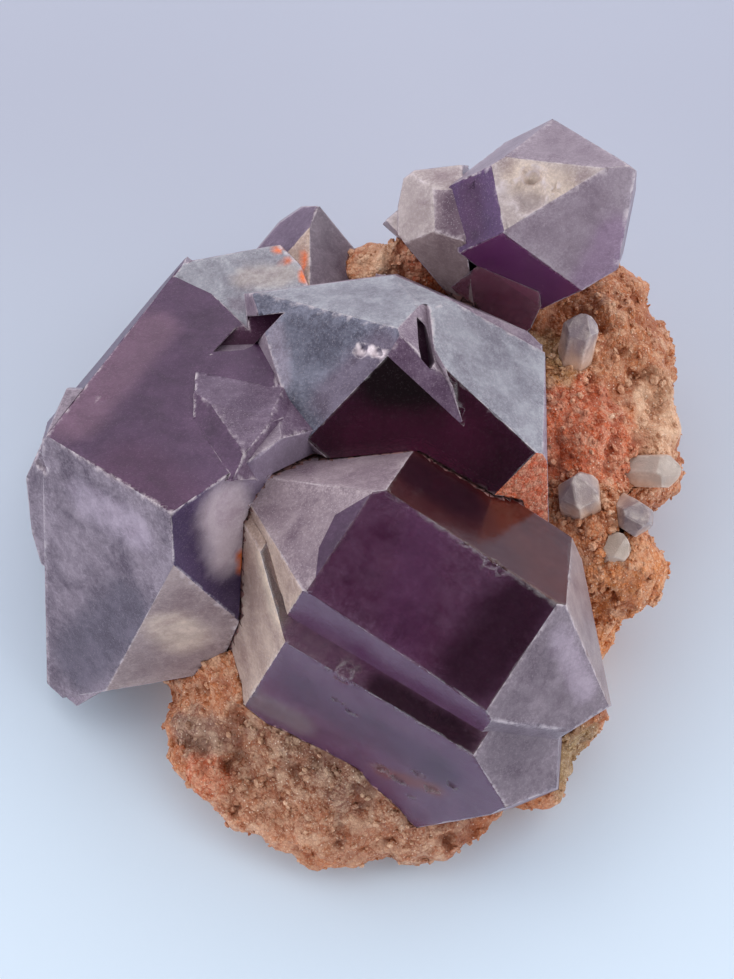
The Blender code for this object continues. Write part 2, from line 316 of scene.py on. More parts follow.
class Effects:
    """The shared effects, each a node group that is built once."""

    def __init__(self) -> None:
        """Build every group."""
        self.clouds = self.make_clouds()
        self.specks = self.make_specks()
        self.grain = self.make_grain()
        # Wear and painted highlight on the edges.
        self.wear = self.make_wear_and_highlight()
        self.crust = self.make_crust()
        self.streaks = self.make_streaks()

    @staticmethod
    def make_clouds() -> Tree:
        """Soft uneven clouds, as in a crystal with veils."""
        desk = Effect("clouds", {"Scale": 0.2, "Low": 0.4, "High": 0.7, "Swirl": 0.6})
        given = desk.given
        wisps = desk.noise(desk.spot, given["Scale"], 5.0, 0.62, given["Swirl"])
        return desk.finish({"Mask": desk.ramp(wisps, given["Low"], given["High"])})

    @staticmethod
    def make_specks() -> Tree:
        """Scattered small specks of uneven size."""
        desk = Effect("specks", {"Scale": 1.0, "Amount": 0.2})
        cells = desk.cells(desk.spot, desk.given["Scale"])
        shade = desk.add("SeparateColor", {0: cells["Color"]}).outputs[0]
        size = desk.times(desk.reckon("POWER", shade, 3.0), desk.given["Amount"])
        inside = desk.reckon("SUBTRACT", size, cells["Distance"])
        return desk.finish({"Mask": desk.ramp(inside, 0.0, 0.06)})

    @staticmethod
    def make_grain() -> Tree:
        """Height of a frosted skin: fine grain over shallow dimples."""
        desk = Effect("frost_grain", {"Frost": 0.5})
        fine = desk.noise(desk.spot, 5.0, 3.0)
        broad = desk.noise(desk.spot, 0.8, 4.0)
        height = desk.reckon("MULTIPLY_ADD", broad, 0.35, desk.times(fine, desk.given["Frost"]))
        return desk.finish({"Height": height, "Tint": fine})

    @staticmethod
    def make_wear_and_highlight() -> Tree:
        """Where a painted edge is worn or chipped and gets a painted highlight, broken up by noise.
        """
        desk = Effect("edge_wear", {"Edge": 0.0, "Amount": 0.5})
        uneven = desk.ramp(desk.noise(desk.spot, 0.8, 5.0, 0.7), 0.4, 0.62)
        worn = desk.times(uneven, desk.given["Edge"])
        return desk.finish({"Mask": desk.times(worn, desk.given["Amount"])})

    @staticmethod
    def make_streaks() -> Tree:
        """Fine scratches and growth lines along the first axis of the coordinates."""
        desk = Effect("streaks", {"Scale": 1.0, "Low": 0.55, "High": 0.7})
        given = desk.given
        drawn = desk.vector("MULTIPLY", {0: desk.spot, 1: (0.06, 1.0, 1.0)})
        lines = desk.noise(drawn, given["Scale"], 3.0, 0.6)
        return desk.finish({"Mask": desk.ramp(lines, given["Low"], given["High"])})

    @staticmethod
    def make_crust() -> Tree:
        """Packed grains of a sugary rock: height, a shade for each grain, and the gaps."""
        desk = Effect("crust", {"Scale": 1.2, "Warp": 0.4})
        scale = desk.given["Scale"]
        wobble = desk.add("TexNoise", {"Vector": desk.spot, "Scale": scale, "Detail": 2.0})
        push = desk.vector("SUBTRACT", {0: wobble.outputs["Color"], 1: (0.5, 0.5, 0.5)})
        swell = desk.vector("SCALE", {0: push, "Scale": desk.given["Warp"]})
        spot = desk.vector("ADD", {0: desk.spot, 1: swell})
        cells = desk.cells(spot, scale)
        border = desk.cells(spot, scale, "DISTANCE_TO_EDGE")["Distance"]
        return desk.finish({
            "Height": desk.reckon("SUBTRACT", 1.0, cells["Distance"]),
            "Shade": desk.add("SeparateColor", {0: cells["Color"]}).outputs[0],
            "Gap": desk.reckon("SUBTRACT", 1.0, desk.ramp(border, 0.0, 0.16))})


class Surface(Desk):
    """Desk of one material, with the shared effects at hand."""

    def __init__(self, name: str, effects: Effects) -> None:
        """Start a material of this name."""
        self.material = bpy.data.materials.new(name)
        self.material.use_nodes = True
        super().__init__(self.material.node_tree)
        self.effects = effects
        self.spot = self.place()

    def use(self, group: Tree, inputs: dict) -> Sockets:
        """Outputs of a shared effect with its own values."""
        return self.add("Group", {"Vector": self.spot, **inputs}, node_tree=group).outputs

    def clouds(self, scale: float, low: float, high: float, swirl: float = 0.6,
               spot: Socket | None = None) -> Socket:
        """Mask of soft clouds, on the plain coordinates or on others."""
        return self.use(self.effects.clouds, {
            "Vector": spot or self.spot, "Scale": scale, "Low": low, "High": high,
            "Swirl": swirl})[0]

    def streaks(self, turn: Triple, scale: float, low: float, high: float) -> Socket:
        """Mask of fine lines, turned by degrees."""
        return self.use(self.effects.streaks, {
            "Vector": self.place(turn), "Scale": scale, "Low": low, "High": high})[0]

    def specks(self, scale: float, amount: float) -> Socket:
        """Mask of scattered specks."""
        return self.use(self.effects.specks, {"Scale": scale, "Amount": amount})[0]

    def crust(self, scale: float, warp: float) -> Sockets:
        """Height, shade and gaps of packed grains."""
        return self.use(self.effects.crust, {"Scale": scale, "Warp": warp})

    def worn(self, amount: float) -> Socket:
        """Mask of the worn edges, where a lighter tone stands for wear and for a painted highlight.
        """
        return self.use(self.effects.wear, {"Edge": self.painted("edge"), "Amount": amount})[0]

    def bump(self, height: Socket, strength: float, depth: float) -> Socket:
        """Normal of a skin with this height, its depth in millimetres."""
        return self.add("Bump", {
            "Height": height, "Strength": strength, "Distance": depth * MM}).outputs[0]

    def finish(self, inputs: dict) -> Material:
        """Feed the main shader and give out the material."""
        self.feed(self.tree.nodes["Principled BSDF"], inputs)
        return self.material


# Tones and finishes

DUST_TONE = (196, 182, 190)
# Lighter tone of the worn edges, part wear and part painted highlight along the crests.
RUBBED_AND_HIGHLIGHT_TONE = (222, 208, 212)
GLINT_TONE = (245, 225, 205)


class Finish(Enum):
    """Which of a crystal's materials a facet takes."""

    CLEAR = 0
    MILKY = 1
    SEAT = 2
    ROCK = 3


@dataclass(frozen=True)
class Look:
    """How the skin of a facet looks.

    Args:
        finish: Material that it takes.
        tone: Its colour in its depths.
        veil: Its colour where pale veils cloud it.
        frost: Roughness of its skin, from 0 polished to 1 frosted.
        haze: Strength of the clouds in it.
        dust: Amount of pale specks on it.
    """

    finish: Finish
    tone: Triple
    veil: Triple
    frost: float
    haze: float
    dust: float


@dataclass(frozen=True)
class Facet:
    """One facet, picked out by a pixel that shows it, and the look it gets."""

    name: str
    at: Pixel
    look: Look


@dataclass(frozen=True)
class Inlay:
    """Part of a facet with a look of its own, behind a bent line of pixels.

    Args:
        name: Plain name of the part.
        facet: Name of the facet that it is cut from.
        line: Pixels along its border, which keep the part on their right hand.
        look: The look that it gets.
    """

    name: str
    facet: str
    line: tuple[Pixel, ...]
    look: Look


@dataclass(frozen=True)
class Patch:
    """A soft-edged patch of another tone, along a line between two pixels.

    Args:
        name: Plain name of the patch; not used.
        start: Pixel that shows one end of its line.
        end: Pixel that shows the other end.
        radius: Distance from the line at which it has faded out.
        tone: Its colour.
        strength: How fully it covers, from 0 to 1.
        facets: Names of the facets it shows on; all of them if empty.
    """

    name: str
    start: Pixel
    end: Pixel
    radius: float
    tone: Triple
    strength: float = 1.0
    facets: tuple[str, ...] = ()

    def lay(self, spotter: Spotter) -> "Stain":
        """Lay the patch on the solids."""
        return Stain(self, spotter.find(self.start), spotter.find(self.end))


@dataclass(frozen=True)
class Stain:
    """A patch at its place on the solids, its ends in millimetres."""

    patch: Patch
    start: Vector
    end: Vector

    def cover(self, point: Vector) -> float:
        """Share of the patch's tone at a point in millimetres."""
        reach = distance_to_line(point, self.start, self.end)
        radius = self.patch.radius
        return self.patch.strength * (1 - smooth_step(reach, radius * 0.35, radius))


@dataclass(frozen=True)
class CrystalFinish:
    """Material of crystal: clear with colour all through it, or milky.

    Args:
        name: Name of the material.
        see_through: Share of the light that passes.
        density: How fast light darkens inside, or 0 for no inside.
        shine: Specular level of the skin.
        least_rough: Roughness of a polished skin.
        most_rough: Roughness of a frosted skin.
        tint: Colour that light takes on inside.
        grain_depth: Depth of the grain of a frosted skin.
    """

    name: str
    see_through: float
    density: float
    shine: float
    least_rough: float = 0.06
    most_rough: float = 0.55
    tint: Triple = (0.72, 0.2, 0.6)
    grain_depth: float = 0.2

    def build(self, effects: Effects) -> Material:
        """Make the material from the values painted on the mesh."""
        desk = Surface(self.name, effects)
        frost = desk.painted("frost")
        dusted = desk.reckon("MAXIMUM", desk.specks(6.5, 0.6), desk.specks(1.3, 0.12))
        base = desk.cover(self.coloured(desk), linear(DUST_TONE), dusted, desk.painted("dust"))
        # Edges get the lighter tone, part wear and part painted highlight.
        rubbed_and_lit = desk.worn(0.8)
        base = desk.mix(base, linear(RUBBED_AND_HIGHLIGHT_TONE), rubbed_and_lit)
        skin = desk.use(effects.grain, {"Frost": frost})
        uneven = desk.reckon("MULTIPLY_ADD", skin["Tint"], 0.16, -0.08)
        rough = desk.reckon("ADD", frost, uneven)
        rough = desk.reckon("ADD", rough, desk.times(rubbed_and_lit, 0.3))
        if self.density:
            inside = desk.add("VolumeAbsorption", {
                "Color": (*self.tint, 1.0), "Density": self.density})
            desk.feed(desk.tree.nodes["Material Output"], {"Volume": inside.outputs[0]})
        return desk.finish({
            "Base Color": base, "Normal": desk.bump(skin["Height"], 0.4, self.grain_depth),
            "Roughness": desk.spread(rough, self.least_rough, self.most_rough),
            "IOR": QUARTZ_IOR, "Specular IOR Level": self.shine, "Metallic": 0.0,
            "Transmission Weight": self.see_through})

    @staticmethod
    def coloured(desk: Surface) -> Socket:
        """The facet's tone, clouded by its veil in soft wisps, fine frost and scratches."""
        tone = desk.painted("tone", "Color")
        fine = desk.clouds(2.8, 0.42, 0.68)
        mask = desk.times(desk.clouds(0.14, 0.36, 0.66, 0.4), 0.6)
        for wisps, share in (
                (desk.clouds(0.6, 0.4, 0.7), 0.4), (fine, 0.25),
                (desk.streaks((20, 35, 40), 1.8, 0.56, 0.72), 0.2),
                (desk.streaks((-30, 10, -65), 2.2, 0.6, 0.74), 0.14)):
            mask = desk.reckon("MULTIPLY_ADD", wisps, share, mask)
        mask = desk.times(mask, desk.painted("haze"))
        frosted = desk.times(desk.reckon("MULTIPLY_ADD", fine, 0.6, 0.25), 0.8)
        mask = desk.reckon("MULTIPLY_ADD", desk.painted("border"), frosted, mask)
        deep = desk.mix(tone, (0.62, 0.5, 0.6, 1.0), 1.0, "MULTIPLY")
        depths = desk.clouds(0.17, 0.44, 0.7, 1.1, desk.place((60, 20, 10)))
        return desk.mix(desk.cover(tone, deep, depths, 0.7), desk.painted("veil", "Color"), mask)


@dataclass(frozen=True)
class SeatFinish:
    """Material of the parts of a crystal that sit in the rock, seen through the crystal."""

    name: str = "buried_seat"

    def build(self, effects: Effects) -> Material:
        """Make the material: dark rusty rock pressed against the crystal."""
        desk = Surface(self.name, effects)
        crust = desk.crust(0.7, 0.8)
        base = desk.mix(linear((120, 74, 72)), linear((170, 128, 124)), crust["Shade"])
        base = desk.mix(base, linear((60, 34, 36)), crust["Gap"])
        return desk.finish({
            "Base Color": base, "Normal": desk.bump(crust["Height"], 0.5, 0.3),
            "Roughness": 0.8})


@dataclass(frozen=True)
class RockFinish:
    """Material of the rusty rock: sugary grains, cavities darkened with painted shade, glints and
    smooth quartz spots.
    """

    name: str = "rusty_rock"

    def build(self, effects: Effects) -> Material:
        """Make the material from the tone painted on the mesh."""
        desk = Surface(self.name, effects)
        base = tone = desk.painted("tone", "Color")
        pale = desk.mix(tone, (1.0, 0.74, 0.52, 1.0), 0.6)
        dark = desk.mix(tone, (0.5, 0.32, 0.22, 1.0), 1.0, "MULTIPLY")
        coarse, fine = desk.crust(1.1, 0.6), desk.crust(3.1, 0.25)
        crinkles = desk.clouds(1.3, 0.47, 0.58, 1.6, desk.place((0, 40, 15), (1, 1, 0.6)))
        for colour, mask, strength in (
                (dark, desk.clouds(0.3, 0.42, 0.66, 1.0), 0.6),
                (dark, crinkles, 0.45),
                (pale, desk.clouds(0.4, 0.5, 0.68, spot=desk.place((50, 0, 30))), 0.65),
                (pale, desk.ramp(coarse["Shade"], 0.45, 1.0), 0.4),
                (pale, desk.clouds(3.2, 0.5, 0.62, spot=desk.place((30, 0, 70))), 0.55),
                (pale, desk.ramp(fine["Shade"], 0.5, 1.0), 0.3)):
            base = desk.cover(base, colour, mask, strength)
        gaps = desk.reckon(
            "MAXIMUM", desk.times(coarse["Gap"], 0.35), desk.times(fine["Gap"], 0.3))
        # Dark joints between the grains, then painted shade that darkens the hollows.
        base = desk.cover(desk.mix(base, dark, gaps), dark, desk.painted("hollow_shade"), 0.6)
        base = desk.cover(base, linear(GLINT_TONE), desk.specks(3.0, 0.34), 0.7)
        height = desk.reckon("MULTIPLY_ADD", fine["Height"], 0.4, coarse["Height"])
        return desk.finish({
            "Base Color": base, "Normal": desk.bump(height, 0.9, 0.35),
            "Roughness": desk.spread(fine["Shade"], 0.3, 0.8)})


@dataclass(frozen=True)
class StubFinish:
    """Material of the cloudy grey quartz stubs."""

    name: str = "cloudy_quartz"

    def build(self, effects: Effects) -> Material:
        """Make the material: grey-lilac points on cream stained feet."""
        desk = Surface(self.name, effects)
        base = desk.cover(desk.painted("tone", "Color"), linear((226, 204, 190)),
                          desk.clouds(0.5, 0.4, 0.7), 0.3)
        # Edges get a lighter tone, part wear and part painted highlight.
        base = desk.mix(base, linear((240, 226, 216)), desk.worn(0.4))
        height = desk.use(effects.grain, {"Frost": 0.6})["Height"]
        return desk.finish({
            "Base Color": base, "Normal": desk.bump(height, 0.5, 0.2), "Roughness": 0.38,
            "IOR": QUARTZ_IOR})


# Meshes


def merged_copy(node: str) -> Mesh:
    """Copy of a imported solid's mesh with its loose triangles merged.

    Args:
        node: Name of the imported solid.

    Returns:
        A bmesh in metres.
    """
    bm = bmesh.new()
    bm.from_mesh(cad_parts[node].data)
    for layer in list(bm.loops.layers.uv):
        bm.loops.layers.uv.remove(layer)
    bmesh.ops.remove_doubles(bm, verts=bm.verts, dist=2e-6)
    bm.normal_update()
    return bm


def make_mesh(bm: Mesh, name: str, materials: list[Material]) -> Piece:
    """Turn a bmesh, which is freed, into an object with these materials."""
    mesh = bpy.data.meshes.new(name)
    bm.to_mesh(mesh)
    bm.free()
    if "custom_normal" in mesh.attributes:
        mesh.attributes.remove(mesh.attributes["custom_normal"])
    for material in materials:
        mesh.materials.append(material)
    return put_in_scene(name, mesh)


def make_piece(bm: Mesh, name: str, materials: list[Material], stands_for: str | None) -> Piece:
    """Turn a bmesh into a finished piece on the frame.

    Args:
        bm: The mesh; it is freed.
        name: Name of the piece.
        materials: Its materials, in order.
        stands_for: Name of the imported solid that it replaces, or None.

    Returns:
        The piece.
    """
    piece = make_mesh(bm, name, materials)
    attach(piece, "root")
    if stands_for:
        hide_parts(stands_for)
    LOG.info("%s: %d faces", name, len(piece.data.polygons))
    return piece


@dataclass(frozen=True)
class Chip:
    """A shell-shaped chip or pit, or a bump if its depth is negative.

    Args:
        at: Pixel that shows its centre.
        radius: Its half width.
        depth: How deep it is.
        stretch: How much longer than wide it is, from left to right.
    """

    at: Pixel
    radius: float
    depth: float
    stretch: float = 1.0

    def reach(self, away: Vector) -> float:
        """How far out a place lies, from 0 at the centre to 1 at the ragged rim."""
        own = Vector((*self.at, 0)) * 0.37
        bent = away / self.radius + noise.noise_vector(away / self.radius + own) * 0.5
        return Vector((bent.x / self.stretch, bent.y, bent.z)).length

    def dent(self, away: Vector) -> float:
        """Depth at a place, given by its way from the centre in millimetres."""
        reach = self.reach(away)
        if reach >= 1:
            return 0.0
        return self.depth * (1 - reach ** 4) * (1 + 0.12 * math.sin(reach * 14))

    def rim(self, away: Vector) -> float:
        """How near the broken rim a place is, from 0 to 1."""
        return 1 - smooth_step(abs(self.reach(away) - 0.98), 0.0, 0.2)


@dataclass
class Crystal:
    """One amethyst solid with its facets finished one by one.

    Args:
        node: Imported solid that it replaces.
        facets: Finish of each named facet.
        patches: Patches of other tones on it.
        chips: Chips broken out of it.
        inlays: Parts of facets with looks of their own.
        plain: Finish of the facets that have no name.
        cell: Size of the cells its facets are cut into.
        rim: Width of the worn rim along each edge.
        wear: Mean depth of the wear on the edges.
        wave: Height of the growth waves on the facets.
    """

    node: str
    facets: list[Facet]
    patches: list[Patch] = field(default_factory=list)
    chips: list[Chip] = field(default_factory=list)
    inlays: list[Inlay] = field(default_factory=list)
    plain: Look = Look(Finish.MILKY, (110, 90, 110), (165, 150, 160), 0.5, 0.6, 0.3)
    cell: float = 0.9
    rim: float = 0.3
    wear: float = 0.12
    wave: float = 0.04

    def build(self, spotter: Spotter, materials: list[Material]) -> Piece:
        """Make the finished crystal.

        Args:
            spotter: Finds what the pixels show.
            materials: Clear, milky, seat and rock materials, in that order.

        Returns:
            The piece.
        """
        bm = merged_copy(self.node)
        named = self.number_facets(bm, spotter)
        self.cut_rims(bm)
        self.cut_cells(bm)
        quiet = {self.cut_inlay(bm, named, inlay, spotter) for inlay in self.inlays}
        centres = [(chip, spotter.find(chip.at)) for chip in self.chips]
        self.cut_finer(bm, centres)
        self.find_crests(bm, quiet)
        self.shape(bm, centres)
        self.paint(bm, named, [patch.lay(spotter) for patch in self.patches])
        return make_piece(bm, "crystal_" + self.node.split("_")[1], materials, self.node)

    def number_facets(self, bm: Mesh, spotter: Spotter) -> dict[int, Facet]:
        """Give every flat facet a number and find which ones have names.

        Args:
            bm: Merged triangles.
            spotter: Finds what the pixels show.

        Returns:
            The named facet of each number that has one.
        """
        layer = bm.faces.layers.int.new("facet")
        count = 0
        for seed in bm.faces:
            if seed[layer]:
                continue
            count += 1
            seed[layer] = count
            waiting = [seed]
            while waiting:
                face = waiting.pop()
                for other in (f for e in face.edges for f in e.link_faces):
                    if not other[layer] and other.normal.dot(seed.normal) > SAME_PLANE:
                        other[layer] = count
                        waiting.append(other)
        bm.faces.ensure_lookup_table()
        tree = BVHTree.FromBMesh(bm)
        named = {}
        for facet in self.facets:
            _, _, index, gap = tree.find_nearest(spotter.find(facet.at) * MM)
            if gap > TOUCH * MM:
                LOG.warning("%s isn't on %s", facet.name, self.node)
            number = bm.faces[index][layer]
            if number in named:
                LOG.warning("%s and %s are one facet", named[number].name, facet.name)
            named[number] = facet
        bmesh.ops.dissolve_limit(
            bm, angle_limit=FLAT, verts=bm.verts, edges=bm.edges)
        return named

    def cut_rims(self, bm: Mesh) -> None:
        """Inset a narrow rim in every facet that is wide enough for it."""
        layer = bm.faces.layers.int["facet"]
        rims = bm.faces.layers.int.new("rim")
        wide = [f for f in bm.faces
                if 2 * f.calc_area() / max(1e-9, f.calc_perimeter()) > 2.2 * self.rim * MM]
        owners = {e: f[layer] for f in wide for e in f.edges}
        outer = {v for f in wide for v in f.verts}
        cut = bmesh.ops.inset_individual(
            bm, faces=wide, thickness=self.rim * MM, use_even_offset=True)
        for face in cut["faces"]:
            face[rims] = 1
            if not face[layer]:
                face[layer] = next((owners[e] for e in face.edges if e in owners), 0)
            for edge in face.edges:
                ends = sorted(edge.verts, key=lambda v: v not in outer)
                away = ends[1].co - ends[0].co
                if ends[1] not in outer and away.length > 2.4 * self.rim * MM:
                    ends[1].co = ends[0].co + away.normalized() * 2.2 * self.rim * MM

    def cut_cells(self, bm: Mesh) -> None:
        """Cut every facet into cells with planes along the three axes."""
        for axis in range(3):
            normal = Vector((axis == 0, axis == 1, axis == 2))
            values = [v.co[axis] for v in bm.verts]
            place, last = min(values) + self.cell * MM * 0.5, max(values)
            while place < last:
                bmesh.ops.bisect_plane(
                    bm, geom=bm.verts[:] + bm.edges[:] + bm.faces[:], dist=CUT_SLACK,
                    plane_co=normal * place, plane_no=normal)
                place += self.cell * MM
        bm.normal_update()

    @staticmethod
    def cut_inlay(bm: Mesh, named: dict[int, Facet], inlay: Inlay,
                  spotter: Spotter) -> int:
        """Cut a facet along the border of an inlay and number the part as a facet.

        Args:
            bm: The crystal.
            named: The named facets by number; the inlay is added.
            inlay: The part to cut.
            spotter: Finds what the pixels show.

        Returns:
            The number of the part.
        """
        layer = bm.faces.layers.int["facet"]
        owner = next(number for number, facet in named.items() if facet.name == inlay.facet)
        inside = [f for f in bm.faces if f[layer] == owner]
        upward = sum((f.normal * f.calc_area() for f in inside), Vector())
        places = [spotter.find(pixel) * MM for pixel in inlay.line]
        for start, end in zip(places, places[1:]):
            right = (end - start).cross(upward).normalized()
            parts = {p for f in inside for p in (f, *f.edges, *f.verts)}
            cut = bmesh.ops.bisect_plane(
                bm, geom=list(parts), dist=CUT_SLACK, plane_co=start, plane_no=right)
            inside = [f for f in cut["geom"] if isinstance(f, bmesh.types.BMFace)
                      and f[layer] == owner and (f.calc_center_median() - start).dot(right) > 0]
        number = max(f[layer] for f in bm.faces) + 1
        named[number] = Facet(inlay.name, inlay.line[0], inlay.look)
        for face in inside:
            face[layer] = number
        return number

    @staticmethod
    def cut_finer(bm: Mesh, centres: list[tuple[Chip, Vector]]) -> None:
        """Divide the cells finely where chips are broken out."""
        for _ in range(3):
            edges = set()
            for chip, centre in centres:
                reach = chip.radius * max(1.0, chip.stretch) * 1.25 * MM
                fine = chip.radius * 0.2 * MM
                edges.update(
                    e for e in bm.edges if e.calc_length() > fine and
                    ((e.verts[0].co + e.verts[1].co) / 2 - centre * MM).length < reach)
            if edges:
                bmesh.ops.subdivide_edges(bm, edges=list(edges), cuts=1, use_grid_fill=True)
                wide = [f for f in bm.faces if len(f.verts) > 4]
                bmesh.ops.triangulate(bm, faces=wide)
        bm.normal_update()

    @staticmethod
    def find_crests(bm: Mesh, quiet: set[int]) -> None:
        """Paint how sharply each edge stands out, which lightens it as wear and painted highlight,
        and keep the facets' borders crisp.

        Args:
            bm: The cut crystal.
            quiet: Numbers of the facets with little wear and little painted highlight on their
                edges.
        """
        sharpness = bm.verts.layers.float.new("edge")
        layer = bm.faces.layers.int["facet"]
        rims = bm.faces.layers.int["rim"]
        for edge in bm.edges:
            if len(edge.link_faces) != 2:
                continue
            first, second = edge.link_faces
            turn = edge.calc_face_angle_signed(0.0)
            edge.smooth = abs(turn) < CREASE and first[rims] == second[rims]
            if first[layer] != second[layer] and turn > CREASE:
                sharp = min(1.0, turn / HALF_TURNED)
                if quiet & {first[layer], second[layer]}:
                    sharp *= 0.2
                edge.smooth = bool(first[rims] and second[rims])
                for vertex in edge.verts:
                    vertex[sharpness] = max(sharp, vertex[sharpness])

    def shape(self, bm: Mesh, centres: list[tuple[Chip, Vector]]) -> None:
        """Wear the edges unevenly, break the chips out and give the facets their waves."""
        sharpness = bm.verts.layers.float["edge"]
        moves = {}
        for vertex in bm.verts:
            spot = vertex.co / MM
            sharp = vertex[sharpness]
            push = self.wave * noise.noise(spot * 0.22)
            if sharp:
                rub = 0.7 + 0.9 * noise.noise(spot * 0.9)
                nick = smooth_step(noise.noise(spot * 0.55 + Vector((5, 1, 8))), 0.28, 0.6)
                push -= sharp * self.wear * (max(0.25, rub) + 2.4 * nick)
            push -= sum(chip.dent(spot - centre) for chip, centre in centres)
            # A chip's broken rim joins the painted edge, so it gets the lighter edge tone, as wear
            # and as a painted highlight.
            broken = max((chip.rim(spot - centre) for chip, centre in centres), default=0.0)
            vertex[sharpness] = max(sharp, broken)
            moves[vertex] = vertex.normal * (push * MM)
        for vertex, move in moves.items():
            vertex.co += move
        bm.normal_update()

    def paint(self, bm: Mesh, named: dict[int, Facet],
              stains: list[Stain]) -> None:
        """Paint tone, frost, haze and dust on the mesh and give out the materials.

        Args:
            bm: The shaped crystal.
            named: The named facets by number.
            stains: The patches at their places.
        """
        around = solids_around(self.node)
        facet_layer = bm.faces.layers.int["facet"]
        self.paint_borders(bm)
        tone = bm.loops.layers.float_color.new("tone")
        veil = bm.loops.layers.float_color.new("veil")
        sheets = {key: bm.loops.layers.float.new(key) for key in ("frost", "haze", "dust")}
        for face in bm.faces:
            facet = named.get(face[facet_layer])
            look = facet.look if facet else self.plain
            name = facet.name if facet else ""
            centre = face.calc_center_median()
            if around.ray_cast(centre + face.normal * 1e-5, face.normal, 0.9 * MM)[0] is not None:
                look = BURIED
            face.material_index = look.finish.value
            face.smooth = True
            local = [s for s in stains if not s.patch.facets or name in s.patch.facets]
            for loop in face.loops:
                spot = loop.vert.co / MM
                ragged = spot + noise.noise_vector(spot * 0.9) * 0.5
                deep, pale = linear(look.tone), linear(look.veil)
                for stain in local:
                    share = stain.cover(ragged)
                    if share > 0:
                        light = linear([min(255, v * 1.22) for v in stain.patch.tone])
                        deep = blend(deep, linear(stain.patch.tone), share)
                        pale = blend(pale, light, share)
                loop[tone], loop[veil] = deep, pale
                for key, sheet in sheets.items():
                    loop[sheet] = getattr(look, key)

    @staticmethod
    def paint_borders(bm: Mesh) -> None:
        """Paint how near each point is to a sharp edge, where frost gathers."""
        sharpness = bm.verts.layers.float["edge"]
        border = bm.verts.layers.float.new("border")
        crests = [v.co.copy() for v in bm.verts if v[sharpness] > 0.3]
        tree = KDTree(len(crests))
        for number, place in enumerate(crests):
            tree.insert(place, number)
        tree.balance()
        for vertex in bm.verts:
            vertex[border] = math.exp(-tree.find(vertex.co)[2] / (1.1 * MM))


# Looks of the facets, from glassy windows to frosted skins

CLEAR, MILKY = Finish.CLEAR, Finish.MILKY

BURIED = Look(Finish.SEAT, (70, 35, 35), (110, 60, 55), frost=0.8, haze=0.3, dust=0.0)
DEEP_WINDOW = Look(CLEAR, (135, 65, 115), (205, 150, 195), frost=0.15, haze=0.5, dust=0.1)
RED_WINDOW = Look(CLEAR, (120, 50, 60), (165, 95, 95), frost=0.15, haze=0.4, dust=0.06)
LILAC_WINDOW = Look(CLEAR, (155, 85, 150), (210, 160, 205), frost=0.35, haze=0.5, dust=0.06)
BRIGHT_WINDOW = Look(CLEAR, (165, 95, 150), (240, 200, 220), frost=0.16, haze=0.4, dust=0.15)
VIOLET_WINDOW = Look(CLEAR, (175, 70, 165), (220, 130, 200), frost=0.4, haze=0.3, dust=0.1)
MAROON_WINDOW = Look(CLEAR, (210, 105, 145), (245, 175, 195), frost=0.2, haze=0.4, dust=0.2)
NIGHT_WINDOW = Look(CLEAR, (90, 15, 55), (130, 60, 105), frost=0.1, haze=0.3, dust=0.14)
PLUM = Look(MILKY, (60, 30, 62), (92, 62, 92), frost=0.45, haze=0.6, dust=0.06)
DUSK = Look(MILKY, (75, 52, 75), (125, 105, 125), frost=0.5, haze=0.6, dust=0.2)
VIOLET = Look(MILKY, (66, 38, 78), (105, 75, 118), frost=0.4, haze=0.5, dust=0.15)
INDIGO = Look(MILKY, (48, 32, 62), (80, 62, 95), frost=0.45, haze=0.5, dust=0.1)
SMOKE = Look(MILKY, (55, 52, 72), (120, 120, 138), frost=0.5, haze=1.0, dust=0.18)
SHADOW = Look(MILKY, (65, 28, 55), (105, 68, 95), frost=0.35, haze=0.4, dust=0.1)
ASH = Look(MILKY, (96, 82, 94), (142, 128, 138), frost=0.5, haze=0.7, dust=0.12)
PEARLY = Look(MILKY, (122, 104, 118), (165, 150, 160), frost=0.5, haze=0.6, dust=0.15)
DRIFT = Look(MILKY, (80, 64, 80), (145, 130, 142), frost=0.5, haze=1.0, dust=0.15)
FROST = Look(MILKY, (115, 95, 108), (178, 160, 165), frost=0.6, haze=0.6, dust=0.35)
SAND = Look(MILKY, (125, 105, 108), (165, 146, 145), frost=0.5, haze=0.8, dust=0.15)
CREAM = Look(MILKY, (145, 118, 110), (205, 180, 165), frost=0.6, haze=0.7, dust=0.3)
MIST = Look(MILKY, (112, 108, 120), (165, 164, 172), frost=0.55, haze=0.8, dust=0.25)
CHALK = Look(MILKY, (150, 132, 132), (195, 180, 178), frost=0.6, haze=0.7, dust=0.3)
STONY = Look(Finish.ROCK, (215, 95, 48), (235, 150, 110), frost=0.8, haze=0.9, dust=0.3)

# Tones of stains and patches on the crystals

NIGHT_TONE = (30, 8, 20)
WINE_TONE = (65, 18, 50)
PLUM_TONE = (80, 55, 75)
SLATE_TONE = (75, 66, 80)
ORCHID_TONE = (150, 85, 140)
GRAPE_TONE = (112, 62, 120)
MULBERRY_TONE = (125, 40, 85)
ROSE_TONE = (110, 80, 98)
EMBER_TONE = (150, 62, 48)
LILAC_TONE = (160, 145, 160)
PEARL_TONE = (215, 195, 200)
STRAW_TONE = (200, 180, 162)
RUST_TONE = (205, 100, 42)

